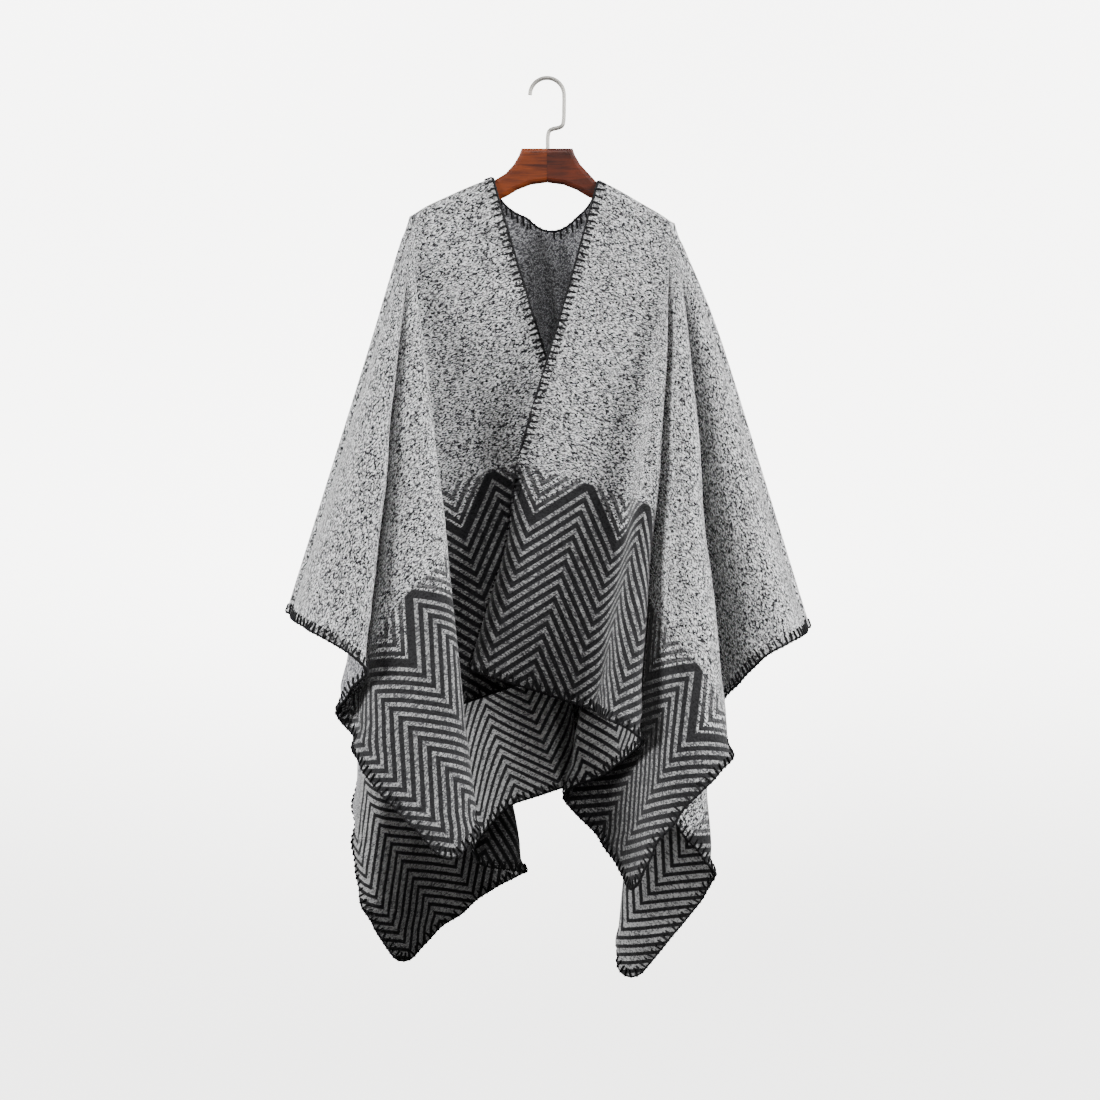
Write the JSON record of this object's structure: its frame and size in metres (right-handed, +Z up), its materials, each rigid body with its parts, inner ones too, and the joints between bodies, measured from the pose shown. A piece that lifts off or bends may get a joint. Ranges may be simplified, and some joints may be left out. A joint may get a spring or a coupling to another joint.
{
  "type": "poncho on a hanger",
  "caption": "Open-fronted blanket poncho with a V neck, crossed front edges and pointed hanging corners, draped over a flat wooden hanger with a wire hook.",
  "frame": {"origin": "where the hook hangs, at the inside top of its bend", "axes": "+Z up, -Y toward the front of the poncho, +X to the viewer's right when seen from the front"},
  "size_m": [0.7067, 0.5227, 1.2329],
  "materials": {
    "knit_front_left": "brushed knit",
    "knit_front_right": "brushed knit",
    "knit_back_left": "brushed knit",
    "knit_back_middle": "brushed knit",
    "knit_back_right": "brushed knit",
    "wood_left": "satin varnish",
    "wood_right": "satin varnish",
    "hook_steel": "satin"
  },
  "bodies": {
    "root": {"front_left": "knit_front_left", "front_right": "knit_front_right", "back_left": "knit_back_left", "back_middle": "knit_back_middle", "back_right": "knit_back_right", "hanger_left": "wood_left", "hanger_right": "wood_right", "hanger_hook": "hook_steel"}
  },
  "joints": []
}
